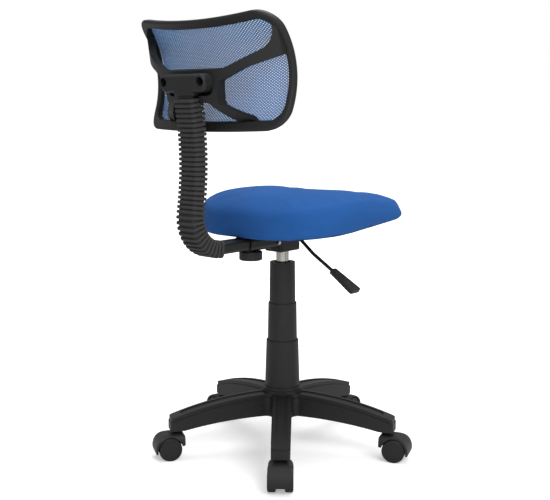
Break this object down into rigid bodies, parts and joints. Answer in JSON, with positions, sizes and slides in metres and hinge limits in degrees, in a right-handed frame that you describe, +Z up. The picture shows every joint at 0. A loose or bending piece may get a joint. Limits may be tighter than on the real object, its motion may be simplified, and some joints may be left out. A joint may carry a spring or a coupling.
{
  "type": "swivel office chair",
  "caption": "Small swivel office chair with a net back on a bent sprung bar, a padded seat, a gas lift under telescopic covers and a star base on twin-wheel casters.",
  "frame": {"origin": "on the floor, under the column's axis", "axes": "+Z up along the column, +Y to the chair's rear, -X to the sitter's right"},
  "size_m": [0.5661, 0.5873, 0.9301],
  "materials": {
    "black_nylon": "matt moulded grain",
    "black_steel": "satin black powder coat",
    "dark_steel": "blackened",
    "chrome": "bright polished",
    "zinc": "bright zinc",
    "black_rubber": "matt",
    "plywood": "raw",
    "blue_fabric": "plain woven cloth",
    "blue_mesh": "open net"
  },
  "bodies": {
    "base": {"base_star": "black_nylon", "caster_sleeves": "black_nylon", "column_tube": "black_steel", "guide_bush": "black_nylon", "cover_lower": "black_nylon"},
    "piston": {"piston_rod": "chrome", "thrust_bearing": "zinc", "rod_clip": "zinc"},
    "lift": {"gas_cylinder": "chrome", "mechanism_housing": "black_steel", "seat_plate": "black_steel", "bar_sleeve": "black_steel", "sleeve_bolt": "zinc", "seat_board": "plywood", "seat_bolts": "zinc", "seat_nuts": "zinc", "seat_cushion": "blue_fabric"},
    "lever": {"lever_rod": "black_steel", "lever_paddle": "black_nylon"},
    "button": {"release_button": "zinc"},
    "knob": {"clamp_knob": "black_nylon", "knob_screw": "zinc"},
    "back": {"back_bar": "black_steel", "bar_end_cap": "black_nylon", "bellows": "black_rubber", "head_plate": "black_nylon", "back_screws": "dark_steel", "back_frame": "black_nylon", "back_mesh": "blue_mesh"},
    "middle_cover": {"cover_middle": "black_nylon"},
    "upper_cover": {"cover_upper": "black_nylon"},
    "caster_1": {"caster_1_stem": "dark_steel", "caster_1_hood": "black_nylon", "caster_1_axle": "zinc"},
    "caster_1_wheel_left": {"caster_1_wheel_left": "black_nylon"},
    "caster_1_wheel_right": {"caster_1_wheel_right": "black_nylon"},
    "caster_2": {"caster_2_stem": "dark_steel", "caster_2_hood": "black_nylon", "caster_2_axle": "zinc"},
    "caster_2_wheel_left": {"caster_2_wheel_left": "black_nylon"},
    "caster_2_wheel_right": {"caster_2_wheel_right": "black_nylon"},
    "caster_3": {"caster_3_stem": "dark_steel", "caster_3_hood": "black_nylon", "caster_3_axle": "zinc"},
    "caster_3_wheel_left": {"caster_3_wheel_left": "black_nylon"},
    "caster_3_wheel_right": {"caster_3_wheel_right": "black_nylon"},
    "caster_4": {"caster_4_stem": "dark_steel", "caster_4_hood": "black_nylon", "caster_4_axle": "zinc"},
    "caster_4_wheel_left": {"caster_4_wheel_left": "black_nylon"},
    "caster_4_wheel_right": {"caster_4_wheel_right": "black_nylon"},
    "caster_5": {"caster_5_stem": "dark_steel", "caster_5_hood": "black_nylon", "caster_5_axle": "zinc"},
    "caster_5_wheel_left": {"caster_5_wheel_left": "black_nylon"},
    "caster_5_wheel_right": {"caster_5_wheel_right": "black_nylon"}
  },
  "joints": [
    {"name": "seat_swivel", "type": "hinge", "parent": "base", "child": "piston", "pos_m": [0, 0, 0.2], "axis": [0, 0, 1], "continuous": true},
    {"name": "seat_lift", "type": "slide", "parent": "piston", "child": "lift", "axis": [0, 0, 1], "range_m": [-0.12, 0]},
    {"name": "height_lever", "type": "hinge", "parent": "lift", "child": "lever", "pos_m": [-0.023, 0, 0.483], "axis": [0, 1, 0], "range_deg": [0, 9], "stiffness_Nm_per_rad": 1.5, "springref_deg": -8.59},
    {"name": "button_press", "type": "slide", "parent": "lift", "child": "button", "axis": [0, 0, -1], "range_m": [0, 0.0042]},
    {"name": "knob_turn", "type": "hinge", "parent": "lift", "child": "knob", "pos_m": [0, 0.102, 0.445], "axis": [0, 0, 1], "range_deg": [0, 450]},
    {"name": "back_slide", "type": "slide", "parent": "lift", "child": "back", "axis": [0, 1, 0], "range_m": [-0.01, 0.03]},
    {"name": "middle_cover_slide", "type": "slide", "parent": "base", "child": "middle_cover", "axis": [0, 0, 1], "range_m": [-0.0505, 0]},
    {"name": "upper_cover_slide", "type": "slide", "parent": "base", "child": "upper_cover", "axis": [0, 0, 1], "range_m": [-0.101, 0]},
    {"name": "caster_1_swivel", "type": "hinge", "parent": "base", "child": "caster_1", "pos_m": [0.0175, -0.23836, 0.08], "axis": [0, 0, 1], "continuous": true},
    {"name": "caster_1_left_roll", "type": "hinge", "parent": "caster_1", "child": "caster_1_wheel_left", "pos_m": [0.03635, -0.25603, 0.025], "axis": [0.9973, 0.0732, 0], "continuous": true},
    {"name": "caster_1_right_roll", "type": "hinge", "parent": "caster_1", "child": "caster_1_wheel_right", "pos_m": [0.00144, -0.25859, 0.025], "axis": [0.9973, 0.0732, 0], "continuous": true},
    {"name": "caster_2_swivel", "type": "hinge", "parent": "base", "child": "caster_2", "pos_m": [0.2321, -0.05701, 0.08], "axis": [0, 0, 1], "continuous": true},
    {"name": "caster_2_left_roll", "type": "hinge", "parent": "caster_2", "child": "caster_2_wheel_left", "pos_m": [0.25473, -0.04455, 0.025], "axis": [0.2385, 0.9711, 0], "continuous": true},
    {"name": "caster_2_right_roll", "type": "hinge", "parent": "caster_2", "child": "caster_2_wheel_right", "pos_m": [0.24638, -0.07854, 0.025], "axis": [0.2385, 0.9711, 0], "continuous": true},
    {"name": "caster_3_swivel", "type": "hinge", "parent": "base", "child": "caster_3", "pos_m": [0.12594, 0.20312, 0.08], "axis": [0, 0, 1], "continuous": true},
    {"name": "caster_3_left_roll", "type": "hinge", "parent": "caster_3", "child": "caster_3_wheel_left", "pos_m": [0.12108, 0.22849, 0.025], "axis": [-0.8499, 0.527, 0], "continuous": true},
    {"name": "caster_3_right_roll", "type": "hinge", "parent": "caster_3", "child": "caster_3_wheel_right", "pos_m": [0.15083, 0.21005, 0.025], "axis": [-0.8499, 0.527, 0], "continuous": true},
    {"name": "caster_4_swivel", "type": "hinge", "parent": "base", "child": "caster_4", "pos_m": [-0.15426, 0.18255, 0.08], "axis": [0, 0, 1], "continuous": true},
    {"name": "caster_4_left_roll", "type": "hinge", "parent": "caster_4", "child": "caster_4_wheel_left", "pos_m": [-0.17989, 0.18576, 0.025], "axis": [-0.7638, -0.6455, 0], "continuous": true},
    {"name": "caster_4_right_roll", "type": "hinge", "parent": "caster_4", "child": "caster_4_wheel_right", "pos_m": [-0.15316, 0.20836, 0.025], "axis": [-0.7638, -0.6455, 0], "continuous": true},
    {"name": "caster_5_swivel", "type": "hinge", "parent": "base", "child": "caster_5", "pos_m": [-0.22128, -0.0903, 0.08], "axis": [0, 0, 1], "continuous": true},
    {"name": "caster_5_left_roll", "type": "hinge", "parent": "caster_5", "child": "caster_5_wheel_left", "pos_m": [-0.23226, -0.11369, 0.025], "axis": [0.3778, -0.9259, 0], "continuous": true},
    {"name": "caster_5_right_roll", "type": "hinge", "parent": "caster_5", "child": "caster_5_wheel_right", "pos_m": [-0.24549, -0.08128, 0.025], "axis": [0.3778, -0.9259, 0], "continuous": true}
  ],
  "couplings": [
    {"joint": "button_press", "follows": "height_lever", "m_per_rad": 0.0265},
    {"joint": "middle_cover_slide", "follows": "seat_lift", "ratio": 0.42},
    {"joint": "upper_cover_slide", "follows": "seat_lift", "ratio": 0.84}
  ]
}
